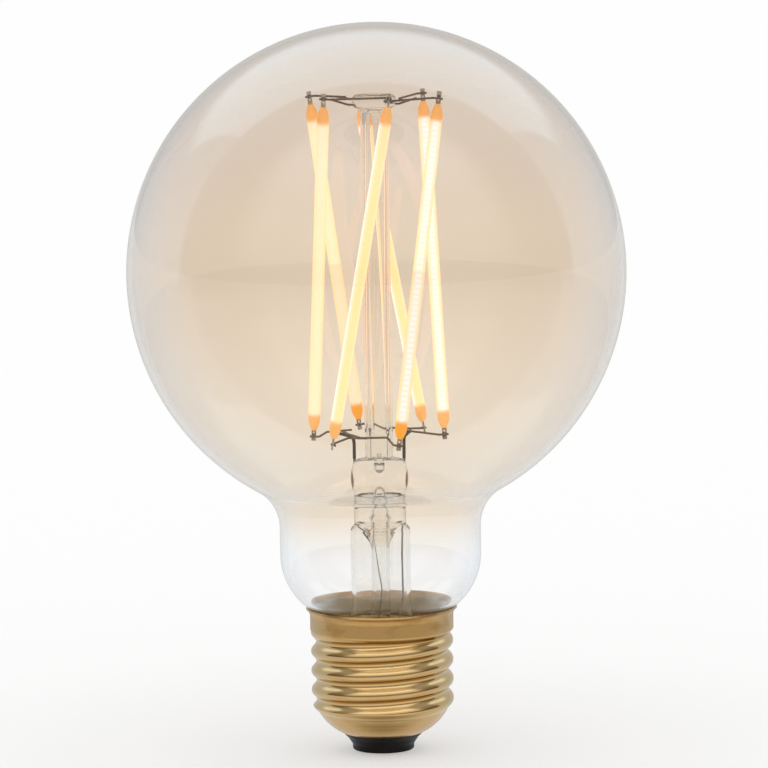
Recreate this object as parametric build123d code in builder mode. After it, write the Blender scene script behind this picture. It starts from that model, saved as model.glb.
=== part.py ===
from build123d import *
import math
import os

os.makedirs("parts", exist_ok=True)

# Screw cap: a rolled brass shell with a 27 mm Edison thread
shell_sheet = 0.4
thread_pitch = 3.629
thread_crest_radius = 13.2
thread_depth = 1.07
thread_root_land = 0.7
thread_height = 14.7
thread_run_in = 2.05
thread_fade = 1.4
dome_height = 4.6
dome_radius = 9.5
collar_proud = 0.1
collar_height = 2.6
collar_step = 1.1
lip_bend = 1.6
lip_reach = 0.7

# Insulator and centre contact
contact_proud = 0.3
contact_thickness = 0.7
contact_radius = 4.6
contact_land_radius = 2.6
contact_clearance = 0.1
insulator_height = 3.3
insulator_top_radius = 7.6
insulator_foot_radius = 5.7
insulator_skirt = 1.0
insulator_hollow = 4.0
insulator_flange = 1.3
insulator_flange_height = 0.9

# Glass envelope: globe, neck, shoulder and the end that sits in the cap
globe_radius = 45.9
neck_radius = 18.6
neck_length = 5.0
neck_fillet = 8.5
glass_wall = 0.9
shoulder_radius = 12.3
neck_end_fillet = 1.5
lip_clearance = 0.15
cement_thickness = 1.3
cement_height = 1.5
seal_depth = 7.2

# Stem: a flared glass tube, pinched flat at the top round the lead wires
stem_height = 34.8
stem_radius = 5.5
stem_wall = 0.65
flare_radius = 9.5
flare_ledge = 1.2
throat_radius = 4.75
throat_length = 2.6
throat_height = 1.6
funnel_height = 5.0
funnel_bend = 15.0
pinch_blend = 2.0
pinch_height = 6.4
pinch_width = 10.6
pinch_end_width = 9.8
pinch_depth = 5.8
pinch_rounding = 1.0
blow_hole_radius = 1.05
blow_hole_drop = 1.2
exhaust_radius = 1.7
exhaust_bore_radius = 1.15
exhaust_tail = 3.8
exhaust_tip = 1.2

# Support tube with its glass button
support_radius = 2.6
support_bore_radius = 1.5
button_radius = 4.0
button_height = 2.6
button_rounding = 1.0
button_floor = 0.3

# Ring of filaments, each one straight and leaning round the axis, with the way each one faces
# and how far its foot stands above the lowest feet and its head below the highest heads
filament_facing = (180.0, -80.0, 0.0, 0.0, -80.0, 180.0)
filament_foot_rise = (0.0, 0.0, 0.0, 0.7, 0.4, 0.7)
filament_head_drop = (0.0, 0.0, 0.0, 0.0, 1.5, 0.0)
ring_radius = 12.4
ring_start = -103.0
ring_twist = 56.0
lead_rise = 4.2
filament_headroom = 13.55
filament_width = 2.2
filament_thickness = 2.0
filament_tip_width = 0.95
filament_nose = 2.3
foot_gap = 1.2
head_gap = 1.5

# Metal tabs at the filament ends
tab_width = 0.85
tab_thickness = 0.25
tab_root = 1.0
tab_past_weld = 0.9
tab_hole_radius = 0.16
tab_hole_offset = 0.7

# Wires
lead_diameter = 0.6
lead_half_span = 4.6
lead_bend = 1.2
lead_overhang = 0.5
seal_wire_diameter = 0.5
seal_wire_lean = 0.04
seal_wire_tail = 0.7
link_diameter = 0.4
link_bend = 0.5
outer_lead_diameter = 0.36
outer_lead_bend = 2.0
wire_gap = 0.04
splice_gap = 0.1
weld_overhang = 0.75
weld_reach = 1.0
anchor_reach = 7.9
anchor_angle = 8.5
anchor_elbow = 4.7
anchor_sag = 1.0
joint_rise = 0.55
bridge_rise = 0.3

# Places where the bent wires turn or end, seen from above
left_link_end = (-5.2, -1.5)
left_spur_end = (-5.1, 6.3)
right_spur_end = (4.6, 4.6)
front_spur_corner = (-5.6, -4.6)
front_spur_end = -2.2
bridge_left = -3.3
bridge_right = 1.6
bridge_clearance = 0.3
bridge_elbow = (-5.6, 0.4)
bridge_kink = (2.1, -6.4)
back_corner = (5.8, 7.0)
back_bend = (3.0, 8.0)
cross_joint = 0.22
left_joint = 0.7
left_shoulder = 0.35
back_joint = 0.8
bridge_joint = 0.75

# Turns of the outer leads: shares of the stem bore across and back, and of the drop to the board
left_outer_turns = ((-0.38, 0.32, 0.12), (0.05, 0.52, 0.42), (-0.3, 1.1, 0.72))
right_outer_turns = ((0.82, 0.05, 0.2), (0.84, 0.0, 0.45), (0.4, -1.3, 0.85))

# Driver on its board inside the cap, with the angle of each component round the board
board_thickness = 1.0
board_clearance = 0.35
board_margin = 3.3
capacitor_angle = 168.0
capacitor_radius = 2.5
capacitor_height = 5.4
capacitor_rounding = 0.3
capacitor_groove_level = 0.9
capacitor_groove_height = 0.55
capacitor_groove_depth = 0.18
inductor_angle = -24.0
inductor_radius = 2.4
inductor_height = 4.2
inductor_flange = 0.8
inductor_waist_radius = 1.9
chip_angle = 62.0
chip_legs = 4
rectifier_angle = 246.0
rectifier_legs = 2
package_length = 4.9
package_width = 3.6
package_height = 1.5
package_taper = 6.0
package_lift = 0.15
leg_reach = 0.7
leg_width = 0.5
leg_thickness = 0.2
fuse_radius = 1.2
fuse_length = 4.2
fuse_rounding = 0.6
fuse_drop = 0.5
fuse_tail = 0.6
fuse_wire_diameter = 0.5
live_wire_diameter = 0.9
shell_wire_rise = 1.2
shell_wire_reach = 1.6

# Levels of the cap, measured up from the land of the contact
insulator_foot = contact_proud
shell_foot = insulator_foot + insulator_height
dome_top = shell_foot + dome_height
collar_foot = dome_top + thread_height
lip_foot = collar_foot + collar_height
collar_radius = thread_crest_radius + collar_proud
lip_turn = math.acos(1 - lip_reach / lip_bend)
rim_level = lip_foot + lip_bend * math.sin(lip_turn)
rim_bore_radius = collar_radius + lip_bend - math.sqrt(
    (lip_bend + shell_sheet) ** 2 - (rim_level - lip_foot) ** 2
)

# Thread section: crest and root arcs of one radius, tangent to each other
thread_root_radius = thread_crest_radius - thread_depth
knuckle_radius = ((thread_pitch / 2) ** 2 + thread_depth**2) / (4 * thread_depth)
flank_turn = math.asin(thread_pitch / (4 * knuckle_radius))
thread_start = dome_top - thread_run_in


def root_arc_radius(offset):
    """Radius of the root arc at an axial offset from the middle of the root."""
    return thread_root_radius + knuckle_radius - math.sqrt(knuckle_radius**2 - offset**2)


core_radius = root_arc_radius(thread_root_land / 2)
bore_radius = core_radius - shell_sheet

# Centre of the arc of the dome, above the chord from its hole to the thread
chord_reach = core_radius - insulator_top_radius
chord_length = math.hypot(chord_reach, dome_height)
chord_rise = math.sqrt(dome_radius**2 - (chord_length / 2) ** 2) / chord_length
dome_centre_radius = insulator_top_radius + chord_reach / 2 - dome_height * chord_rise
dome_centre_level = shell_foot + dome_height / 2 + chord_reach * chord_rise


def dome_level(radius, inset):
    """Height of the dome at a radius, for its arc moved inwards by inset."""
    reach = radius - dome_centre_radius
    return dome_centre_level - math.sqrt((dome_radius - inset) ** 2 - reach**2)


# Levels of the glass: the shoulder comes to rest over the rim or on the cement
cement_top = collar_foot + cement_height
neck_end_radius = collar_radius - shell_sheet - cement_thickness
shoulder_turn = math.acos(
    1 - (neck_radius - neck_end_radius) / (shoulder_radius + neck_end_fillet)
)
shoulder_drop = (shoulder_radius + neck_end_fillet) * math.sin(shoulder_turn)
rim_reach = rim_bore_radius - neck_radius + shoulder_radius
rim_seat = rim_level + lip_clearance + math.sqrt(shoulder_radius**2 - rim_reach**2)
cement_seat = cement_top + wire_gap + shoulder_drop
shoulder_top = max(rim_seat, cement_seat)
neck_top = shoulder_top + neck_length
globe_turn = math.pi - math.asin((neck_radius + neck_fillet) / (globe_radius + neck_fillet))
globe_centre = neck_top - (globe_radius + neck_fillet) * math.cos(globe_turn)
globe_top = globe_centre + globe_radius
seal_level = rim_level - seal_depth

# Levels of the stem and of the filament ring
ledge_radius = neck_end_radius - flare_ledge
flare_turn = math.acos(1 - (ledge_radius - stem_radius) / flare_radius)
flare_top = seal_level + flare_radius * math.sin(flare_turn)
pinch_top = seal_level + stem_height
pinch_foot = pinch_top - pinch_height
blend_foot = pinch_foot - pinch_blend
throat_top = blend_foot - throat_length
throat_foot = throat_top - throat_height
funnel_foot = throat_top - funnel_height
exhaust_foot = seal_level - exhaust_tail
foot_level = pinch_top + lead_rise
joint_level = foot_level + joint_rise
bridge_level = foot_level + bridge_rise
head_level = globe_top - filament_headroom
button_top = head_level + link_diameter
button_foot = button_top - button_height

# Levels of the driver, stacked up from the insulator
flange_radius = insulator_top_radius + insulator_flange
insulator_top = dome_level(flange_radius, shell_sheet) + insulator_flange_height
fuse_foot = insulator_top + fuse_drop
fuse_top = fuse_foot + fuse_length
board_level = fuse_top + fuse_tail
board_top = board_level + board_thickness
board_radius = bore_radius - board_clearance

# Wire sizes that follow from the diameters
link_radius = link_diameter / 2
lead_radius = lead_diameter / 2
lead_level = joint_level - link_radius - lead_radius - wire_gap
stack_step = link_diameter + 2 * wire_gap
weld_offset = tab_thickness / 2 + link_radius + wire_gap
live_hole_radius = live_wire_diameter / 2 + wire_gap


def finish(piece, label):
    """Names a finished piece and writes it to its own file."""
    piece.part.label = label
    export_step(piece.part, f"parts/{label}.step")


def thread_ridge(inset):
    """The helical ridge of the thread, moved inwards by inset and faded into the dome."""
    sunk = thread_pitch / 2 - thread_root_land / 4
    base = root_arc_radius(thread_root_land / 4) - inset
    hollow = thread_pitch / 2 - knuckle_radius * math.sin(flank_turn / 2)
    hollow_radius = root_arc_radius(thread_pitch / 2 - hollow) - inset
    flank = thread_pitch / 4
    flank_radius = (thread_crest_radius + thread_root_radius) / 2 - inset
    crest = thread_crest_radius - inset
    with BuildPart() as ridge:
        with BuildLine() as path:
            Helix(
                pitch=thread_pitch,
                height=collar_foot + thread_pitch / 2 - thread_start,
                radius=core_radius,
                center=(0, 0, thread_start),
            )
        with BuildSketch(Plane.XZ):
            with BuildLine():
                lower = ThreePointArc(
                    (base, thread_start - sunk),
                    (hollow_radius, thread_start - hollow),
                    (flank_radius, thread_start - flank),
                )
                top = ThreePointArc(
                    lower @ 1, (crest, thread_start), (flank_radius, thread_start + flank)
                )
                upper = ThreePointArc(
                    top @ 1,
                    (hollow_radius, thread_start + hollow),
                    (base, thread_start + sunk),
                )
                Line(upper @ 1, lower @ 0)
            make_face()
        sweep(path=path.line, is_frenet=True)
        with BuildSketch(Plane.XZ):
            with BuildLine():
                Polyline(
                    (0, dome_top),
                    (core_radius - inset, dome_top),
                    (collar_radius - inset, dome_top + thread_fade),
                    (collar_radius - inset, rim_level),
                    (0, rim_level),
                    close=True,
                )
            make_face()
        revolve(axis=Axis.Z, mode=Mode.INTERSECT)
    return ridge.part


def cap_form(inset):
    """The form of the cap at a depth of inset in its sheet."""
    core = core_radius - inset
    collar = collar_radius - inset
    with BuildPart() as form:
        with BuildSketch(Plane.XZ):
            with BuildLine():
                dome = RadiusArc(
                    (insulator_top_radius, dome_level(insulator_top_radius, inset)),
                    (core, dome_level(core, inset)),
                    -(dome_radius - inset),
                )
                sides = Polyline(
                    dome @ 1,
                    (core, collar_foot - collar_step),
                    (collar, collar_foot),
                    (collar, lip_foot),
                )
                lip = JernArc(sides @ 1, (0, 1), lip_bend + inset, -math.degrees(lip_turn))
                Polyline(lip @ 1, (0, (lip @ 1).Y), (0, (dome @ 0).Y), dome @ 0)
            make_face()
        revolve(axis=Axis.Z)
        add(thread_ridge(inset))
    return form.part


def glass_form(inset):
    """The form of the envelope at a depth of inset in its wall, closed at the seal."""
    with BuildPart() as form:
        with BuildSketch(Plane.XZ):
            with BuildLine():
                globe = JernArc(
                    (0, globe_top - inset),
                    (1, 0),
                    globe_radius - inset,
                    -math.degrees(globe_turn),
                )
                fillet_arc = JernArc(
                    globe @ 1, globe % 1, neck_fillet + inset, math.degrees(globe_turn) - 90
                )
                neck = Line(fillet_arc @ 1, (neck_radius - inset, shoulder_top))
                shoulder = JernArc(
                    neck @ 1, (0, -1), shoulder_radius - inset, -math.degrees(shoulder_turn)
                )
                neck_end = JernArc(
                    shoulder @ 1,
                    shoulder % 1,
                    neck_end_fillet + inset,
                    math.degrees(shoulder_turn),
                )
                Polyline(
                    neck_end @ 1,
                    (neck_end_radius - inset, seal_level),
                    (0, seal_level),
                    globe @ 0,
                )
            make_face()
        revolve(axis=Axis.Z)
    return form.part


def straight_wire(label, start, end, diameter):
    """A straight length of round wire."""
    start, end = Vector(start), Vector(end)
    with BuildPart() as wire:
        with BuildSketch(Plane(origin=start, z_dir=end - start)):
            Circle(diameter / 2)
        extrude(amount=(end - start).length)
    finish(wire, label)


def bent_wire(label, points, diameter, bend):
    """A round wire along straight runs joined by tangent bends."""
    with BuildPart() as wire:
        with BuildLine() as route:
            FilletPolyline(*points, radius=bend)
        with BuildSketch(Plane(origin=route.line @ 0, z_dir=route.line % 0)):
            Circle(diameter / 2)
        sweep(path=route.line)
    finish(wire, label)


# Screw shell
with BuildPart() as screw_shell:
    add(cap_form(0))
    add(cap_form(shell_sheet), mode=Mode.SUBTRACT)
    with BuildSketch(Plane.XY.offset(shell_foot)):
        Circle(insulator_top_radius)
    extrude(amount=dome_height, mode=Mode.SUBTRACT)
finish(screw_shell, "screw_shell")

# Insulator, moulded through the hole of the shell and spread over its inside
with BuildPart() as insulator:
    with BuildSketch(Plane.XZ):
        with BuildLine():
            skirt = Line(
                (insulator_foot_radius, insulator_foot),
                (insulator_foot_radius, insulator_foot + insulator_skirt),
            )
            cone = RadiusArc(skirt @ 1, (insulator_top_radius, shell_foot), insulator_hollow)
            edge_top = dome_level(insulator_top_radius, shell_sheet)
            edge = Line(cone @ 1, (insulator_top_radius, edge_top))
            seat = RadiusArc(
                edge @ 1,
                (flange_radius, dome_level(flange_radius, shell_sheet)),
                -(dome_radius - shell_sheet),
            )
            Polyline(
                seat @ 1,
                (flange_radius, insulator_top),
                (live_hole_radius, insulator_top),
                (live_hole_radius, contact_thickness),
                (contact_radius + contact_clearance, contact_thickness),
                (contact_radius + contact_clearance, insulator_foot),
                skirt @ 0,
            )
        make_face()
    revolve(axis=Axis.Z)
finish(insulator, "insulator")

# Centre contact, with a flat land to press on and a hole for the live wire
with BuildPart() as centre_contact:
    with BuildSketch(Plane.XZ):
        with BuildLine():
            Polyline(
                (live_hole_radius, 0),
                (contact_land_radius, 0),
                (contact_radius, contact_proud),
                (contact_radius, contact_thickness),
                (live_hole_radius, contact_thickness),
                close=True,
            )
        make_face()
    revolve(axis=Axis.Z)
finish(centre_contact, "centre_contact")

# Glass envelope
with BuildPart() as envelope:
    add(glass_form(0))
    add(glass_form(glass_wall), mode=Mode.SUBTRACT)
finish(envelope, "envelope")

# Ring of cement between the neck end and the collar
with BuildPart() as cap_cement:
    with BuildSketch(Plane.XY.offset(collar_foot)):
        Circle(collar_radius - shell_sheet)
        Circle(neck_end_radius, mode=Mode.SUBTRACT)
    extrude(amount=cement_height)
finish(cap_cement, "cap_cement")

# Pinch at the top of the stem, with bulging sides and soft edges
with BuildPart() as pinch:
    with BuildSketch(Plane.XZ) as pinch_outline:
        with BuildLine():
            half_end = pinch_end_width / 2
            middle = (pinch_foot + pinch_top) / 2
            right = ThreePointArc(
                (half_end, pinch_foot), (pinch_width / 2, middle), (half_end, pinch_top)
            )
            left = ThreePointArc(
                (-half_end, pinch_foot), (-pinch_width / 2, middle), (-half_end, pinch_top)
            )
            Line(right @ 0, left @ 0)
            Line(right @ 1, left @ 1)
        make_face()
        fillet(pinch_outline.vertices(), pinch_rounding)
    extrude(amount=pinch_depth / 2, both=True)
    fillet(pinch.faces().sort_by(Axis.Y)[0].edges(), pinch_rounding)
    fillet(pinch.faces().sort_by(Axis.Y)[-1].edges(), pinch_rounding)

seal_wire_run = pinch_top - throat_top + seal_wire_tail
seal_wire_tops = [Vector(side * lead_half_span, 0, pinch_top) for side in (-1, 1)]
seal_wire_feet = [
    Vector(side * (lead_half_span - seal_wire_lean * seal_wire_run), 0, pinch_top - seal_wire_run)
    for side in (-1, 1)
]

# Stem: flange, trumpet, tube and throat in one glass piece with the pinch. Under the pinch the glass
# is solid and ends in a funnel on the exhaust tube
with BuildPart() as stem_flare:
    with BuildSketch(Plane.XZ):
        with BuildLine():
            trumpet = JernArc(
                (stem_radius, flare_top), (0, -1), flare_radius, math.degrees(flare_turn)
            )
            lining = JernArc(
                (stem_radius - stem_wall, flare_top),
                (0, -1),
                flare_radius + stem_wall,
                math.degrees(flare_turn),
            )
            Polyline(
                trumpet @ 1,
                (neck_end_radius, seal_level),
                (neck_end_radius, (lining @ 1).Y),
                lining @ 1,
            )
            bore = Polyline(
                lining @ 0,
                (stem_radius - stem_wall, throat_foot),
                (throat_radius - stem_wall, throat_top),
            )
            funnel = RadiusArc(bore @ 1, (exhaust_radius, funnel_foot), -funnel_bend)
            Polyline(
                funnel @ 1,
                (exhaust_bore_radius, funnel_foot),
                (exhaust_bore_radius, blend_foot),
                (throat_radius, blend_foot),
                (throat_radius, throat_top),
                (stem_radius, throat_foot),
                trumpet @ 0,
            )
        make_face()
    revolve(axis=Axis.Z)
    with BuildSketch(Plane.XY.offset(blend_foot)):
        Circle(throat_radius)
    with BuildSketch(Plane.XY.offset(pinch_foot + pinch_rounding)):
        Ellipse(pinch_end_width / 2, pinch_depth / 2)
    loft()
    add(pinch.part)
    with BuildSketch(Plane.XY.offset(blend_foot)):
        Circle(exhaust_bore_radius)
    extrude(amount=pinch_top - blow_hole_drop - blend_foot, mode=Mode.SUBTRACT)
    with BuildSketch(Plane.XZ):
        with Locations((0, pinch_top - blow_hole_drop)):
            Circle(blow_hole_radius)
    extrude(amount=pinch_depth, mode=Mode.SUBTRACT)
    for top, foot in zip(seal_wire_tops, seal_wire_feet):
        with BuildSketch(Plane(origin=foot, z_dir=top - foot)):
            Circle(seal_wire_diameter / 2 + wire_gap)
        extrude(amount=(top - foot).length + pinch_rounding, mode=Mode.SUBTRACT)
finish(stem_flare, "stem_flare")

# Exhaust tube, sealed off at its tip
with BuildPart() as exhaust_tube:
    with BuildSketch(Plane.XZ):
        with BuildLine():
            tip = JernArc((0, exhaust_foot), (1, 0), exhaust_radius, 90)
            bore_end = JernArc((0, exhaust_foot + exhaust_tip), (1, 0), exhaust_bore_radius, 90)
            Polyline(
                tip @ 1,
                (exhaust_radius, funnel_foot),
                (exhaust_bore_radius, funnel_foot),
                bore_end @ 1,
            )
            Line(bore_end @ 0, tip @ 0)
        make_face()
    revolve(axis=Axis.Z)
finish(exhaust_tube, "exhaust_tube")

# Anchor wire through the button, bent up at both ends, and the tube that carries it
anchor_level = head_level - stack_step
anchor_end = Vector(anchor_reach, 0, 0).rotate(Axis.Z, anchor_angle)
anchor_bend = Vector(anchor_elbow, 0, 0).rotate(Axis.Z, anchor_angle)
anchor_lift = Vector(0, 0, anchor_level)
anchor_middle = Vector(0, 0, anchor_level - anchor_sag)
bent_wire(
    "anchor_wire",
    [
        anchor_lift - anchor_end,
        anchor_middle - anchor_bend,
        anchor_middle + anchor_bend,
        anchor_lift + anchor_end,
    ],
    link_diameter,
    link_bend,
)

with BuildPart() as support_tube:
    with BuildSketch(Plane.XY.offset(pinch_top)):
        Circle(support_radius)
    extrude(amount=button_foot - pinch_top + button_rounding)
    with BuildSketch(Plane.XZ):
        with Locations((0, (button_foot + button_top) / 2)):
            RectangleRounded(2 * button_radius, button_height, button_rounding)
        with Locations((-button_radius, (button_foot + button_top) / 2)):
            Rectangle(2 * button_radius, button_height, mode=Mode.SUBTRACT)
    revolve(axis=Axis.Z)
    with BuildSketch(Plane.XY.offset(pinch_top)):
        Circle(support_bore_radius)
    extrude(amount=button_foot + button_floor - pinch_top, mode=Mode.SUBTRACT)
    with BuildSketch(Plane(origin=anchor_middle, z_dir=anchor_end)):
        Circle(link_radius + wire_gap)
    extrude(amount=anchor_reach, both=True, mode=Mode.SUBTRACT)
finish(support_tube, "support_tube")


def ring_point(angle, level):
    """Point on the filament ring, with its angle turned from the front to the right."""
    turn = math.radians(angle)
    return Vector(ring_radius * math.sin(turn), -ring_radius * math.cos(turn), level)


def weld_plane(number, end):
    """Plane across a filament at one of its welds, facing along the filament's body."""
    turn = ring_start + (number - 1) * 360 / len(filament_facing)
    foot = ring_point(turn, foot_level + filament_foot_rise[number - 1])
    head = ring_point(turn + ring_twist, head_level - filament_head_drop[number - 1])
    welds = {"foot": foot, "head": head}
    other = {"foot": "head", "head": "foot"}
    along = (welds[other[end]] - welds[end]).normalized()
    face = math.radians(filament_facing[number - 1])
    facing = Vector(math.sin(face), -math.cos(face), 0)
    return Plane(origin=welds[end], x_dir=facing.cross(along), z_dir=along)


# Filaments: bullet-nosed bars with two flat sides, and a pocket for a tab at each end
weld_gap = {"foot": foot_gap, "head": head_gap}
half_width = filament_width / 2
half_tip = filament_tip_width / 2
for number in range(1, len(filament_facing) + 1):
    across = weld_plane(number, "foot")
    weld_span = (weld_plane(number, "head").origin - across.origin).length
    lengthwise = Plane(origin=across.origin, x_dir=across.x_dir, z_dir=-across.y_dir)
    with BuildPart() as filament:
        with BuildSketch(lengthwise):
            with BuildLine():
                body = Line(
                    (half_width, foot_gap + filament_nose),
                    (half_width, weld_span - head_gap - filament_nose),
                )
                foot_nose = TangentArc(body @ 0, (half_tip, foot_gap), tangent=(0, -1))
                head_nose = TangentArc(body @ 1, (half_tip, weld_span - head_gap), tangent=(0, 1))
                Polyline(
                    foot_nose @ 1, (0, foot_gap), (0, weld_span - head_gap), head_nose @ 1
                )
            make_face()
        revolve(axis=Axis(across.origin, across.z_dir))
        with BuildSketch(across):
            Rectangle(2 * filament_width, filament_thickness)
        extrude(amount=weld_span, mode=Mode.INTERSECT)
        for end, gap in weld_gap.items():
            with BuildSketch(weld_plane(number, end).offset(gap)):
                Rectangle(tab_width, tab_thickness)
            extrude(amount=tab_root, mode=Mode.SUBTRACT)
    finish(filament, f"filament_{number}")

    for end, gap in weld_gap.items():
        weld = weld_plane(number, end)
        with BuildPart() as tab:
            with BuildSketch(weld.offset(-tab_past_weld)):
                Rectangle(tab_width, tab_thickness)
            extrude(amount=tab_past_weld + gap + tab_root)
            hole_centre = weld.from_local_coords((0, 0, tab_hole_offset))
            with BuildSketch(Plane(origin=hole_centre, z_dir=weld.y_dir)):
                Circle(tab_hole_radius)
            extrude(amount=tab_thickness, both=True, mode=Mode.SUBTRACT)
        finish(tab, f"filament_{number}_{end}_tab")


def weld_run(number, end, side, target, rise=0.0):
    """Two points of a wire that crosses a tab on one side and leaves towards a target."""
    weld = weld_plane(number, end)
    away = math.copysign(1, (Vector(target) - weld.origin).dot(weld.x_dir))
    lift = rise / weld.z_dir.Z
    crossing = (-away * weld_overhang, away * weld_reach)
    return [weld.from_local_coords((x, side * weld_offset, lift)) for x in crossing]


def at_level(place, level):
    """Point over a place seen from above."""
    return Vector(place[0], place[1], level)


def between(start, end, share):
    """Point a share of the way from start to end."""
    return start + (end - start) * share


def past(start, end, overhang):
    """Point past the end of a run by overhang."""
    return end + (end - start).normalized() * overhang


def head_weld(number):
    """Weld at the head of a filament."""
    return weld_plane(number, "head").origin


# Links that join the filament heads, with the crossing ones laid one on the other
bent_wire(
    "front_link",
    weld_run(1, "head", -1, head_weld(2)) + weld_run(2, "head", 1, head_weld(1))[::-1],
    link_diameter,
    link_bend,
)
bent_wire(
    "right_link",
    weld_run(2, "head", -1, head_weld(3), -stack_step)
    + weld_run(3, "head", 1, head_weld(2), -stack_step)[::-1],
    link_diameter,
    link_bend,
)
link_stop = at_level(left_link_end, head_level)
bent_wire("left_link", weld_run(6, "head", -1, link_stop) + [link_stop], link_diameter, link_bend)
back_meet = between(head_weld(6), link_stop, back_joint)
back_stop = past(head_weld(5), back_meet, -link_diameter)
bent_wire("back_link", weld_run(5, "head", -1, back_stop) + [back_stop], link_diameter, link_bend)
cross_meet = between(head_weld(2), head_weld(3), cross_joint)
cross_stop = past(head_weld(4), cross_meet, weld_overhang)
bent_wire("cross_link", weld_run(4, "head", 1, cross_stop) + [cross_stop], link_diameter, link_bend)

# Spurs, bridges and leads under the filament feet
left_weld = weld_plane(1, "foot").origin
left_stop = at_level(left_spur_end, joint_level)
left_turn = between(left_weld, left_stop, left_shoulder)
left_turn.Z = joint_level
bent_wire(
    "left_spur",
    weld_run(1, "foot", -1, left_stop) + [left_turn, left_stop],
    link_diameter,
    link_bend,
)
right_stop = at_level(right_spur_end, joint_level)
bent_wire("right_spur", weld_run(4, "foot", 1, right_stop) + [right_stop], link_diameter, link_bend)

left_base, right_base = [top + Vector(0, 0, splice_gap) for top in seal_wire_tops]
left_rise = Vector(left_base.X, left_base.Y, lead_level)
right_rise = Vector(right_base.X, right_base.Y, lead_level)
left_meet = between(left_weld, left_stop, left_joint)
left_meet.Z = lead_level
right_meet = at_level(back_corner, lead_level)
bent_wire(
    "left_lead",
    [left_base, left_rise, past(left_rise, left_meet, lead_overhang)],
    lead_diameter,
    lead_bend,
)
bent_wire(
    "right_lead",
    [right_base, right_rise, past(right_rise, right_meet, lead_overhang)],
    lead_diameter,
    lead_bend,
)

bridge_depth = support_radius + bridge_clearance + link_radius
bridge_turn = at_level(bridge_elbow, joint_level)
bridge_meet = between(left_rise, left_meet, bridge_joint)
bridge_meet.Z = joint_level
kink = at_level(bridge_kink, foot_level)
bent_wire(
    "front_bridge",
    [
        past(bridge_turn, bridge_meet, lead_overhang),
        bridge_turn,
        Vector(bridge_left, -bridge_depth, bridge_level),
        Vector(bridge_right, -bridge_depth, bridge_level),
        kink,
    ]
    + weld_run(3, "foot", 1, kink)[::-1],
    link_diameter,
    link_bend,
)
spur_corner = at_level(front_spur_corner, joint_level)
spur_depth = bridge_depth + stack_step
bent_wire(
    "front_spur",
    weld_run(2, "foot", -1, spur_corner)
    + [
        spur_corner,
        Vector(bridge_left, -spur_depth, bridge_level),
        Vector(front_spur_end, -spur_depth, bridge_level),
    ],
    link_diameter,
    link_bend,
)
corner = at_level(back_corner, joint_level)
back_turn = at_level(back_bend, joint_level)
bent_wire(
    "back_bridge",
    weld_run(5, "foot", 1, corner) + [corner, back_turn] + weld_run(6, "foot", 1, back_turn)[::-1],
    link_diameter,
    link_bend,
)

# Wires sealed in the pinch, and the thin leads below them down to the board
stem_bore = stem_radius - stem_wall
outer_turns = (left_outer_turns, right_outer_turns)
for hand, top, foot, turns in zip(("left", "right"), seal_wire_tops, seal_wire_feet, outer_turns):
    straight_wire(f"{hand}_seal_wire", foot, top, seal_wire_diameter)
    splice = foot - Vector(0, 0, splice_gap)
    drop = board_top - splice.Z
    stops = [
        Vector(wide * stem_bore, deep * stem_bore, splice.Z + down * drop)
        for wide, deep, down in turns
    ]
    landing = Vector(stops[-1].X, stops[-1].Y, board_top)
    bent_wire(f"{hand}_outer_lead", [splice] + stops + [landing], outer_lead_diameter, outer_lead_bend)

# Driver board, a round card across the bore of the cap
with BuildPart() as driver_board:
    with BuildSketch(Plane.XY.offset(board_level)):
        Circle(board_radius)
    extrude(amount=board_thickness)
finish(driver_board, "driver_board")


def board_place(angle, size):
    """Plane on the board for a component of a given size, with its X axis round the board."""
    reach = board_radius - board_margin - size
    turn = math.radians(angle)
    origin = (reach * math.cos(turn), reach * math.sin(turn), board_top)
    return Plane(origin=origin, x_dir=(-math.sin(turn), math.cos(turn), 0), z_dir=(0, 0, 1))


# Capacitor: a can with a rolled groove and soft edges
with BuildPart() as capacitor:
    place = board_place(capacitor_angle, capacitor_radius)
    with BuildSketch(place):
        Circle(capacitor_radius)
    extrude(amount=capacitor_height)
    fillet(capacitor.edges().filter_by(GeomType.CIRCLE), capacitor_rounding)
    with BuildSketch(place.offset(capacitor_groove_level)):
        Circle(2 * capacitor_radius)
        Circle(capacitor_radius - capacitor_groove_depth, mode=Mode.SUBTRACT)
    extrude(amount=capacitor_groove_height, mode=Mode.SUBTRACT)
finish(capacitor, "capacitor")

# Inductor: a drum with a winding between two flanges
with BuildPart() as inductor:
    place = board_place(inductor_angle, inductor_radius)
    for level, radius, height in (
        (0, inductor_radius, inductor_flange),
        (inductor_flange, inductor_waist_radius, inductor_height - 2 * inductor_flange),
        (inductor_height - inductor_flange, inductor_radius, inductor_flange),
    ):
        with BuildSketch(place.offset(level)):
            Circle(radius)
        extrude(amount=height)
finish(inductor, "inductor")

# Moulded packages, each on a row of flat legs that reach out on both sides
for label, angle, legs in (
    ("driver_chip", chip_angle, chip_legs),
    ("rectifier", rectifier_angle, rectifier_legs),
):
    place = board_place(angle, package_length / 2)
    with BuildPart() as package:
        with BuildSketch(place.offset(package_lift)):
            Rectangle(package_length, package_width)
        extrude(amount=package_height, taper=package_taper)
        with BuildSketch(place):
            with GridLocations(package_length / legs, 0, legs, 1):
                Rectangle(leg_width, package_width + 2 * leg_reach)
        extrude(amount=package_lift + leg_thickness)
    finish(package, label)

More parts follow.
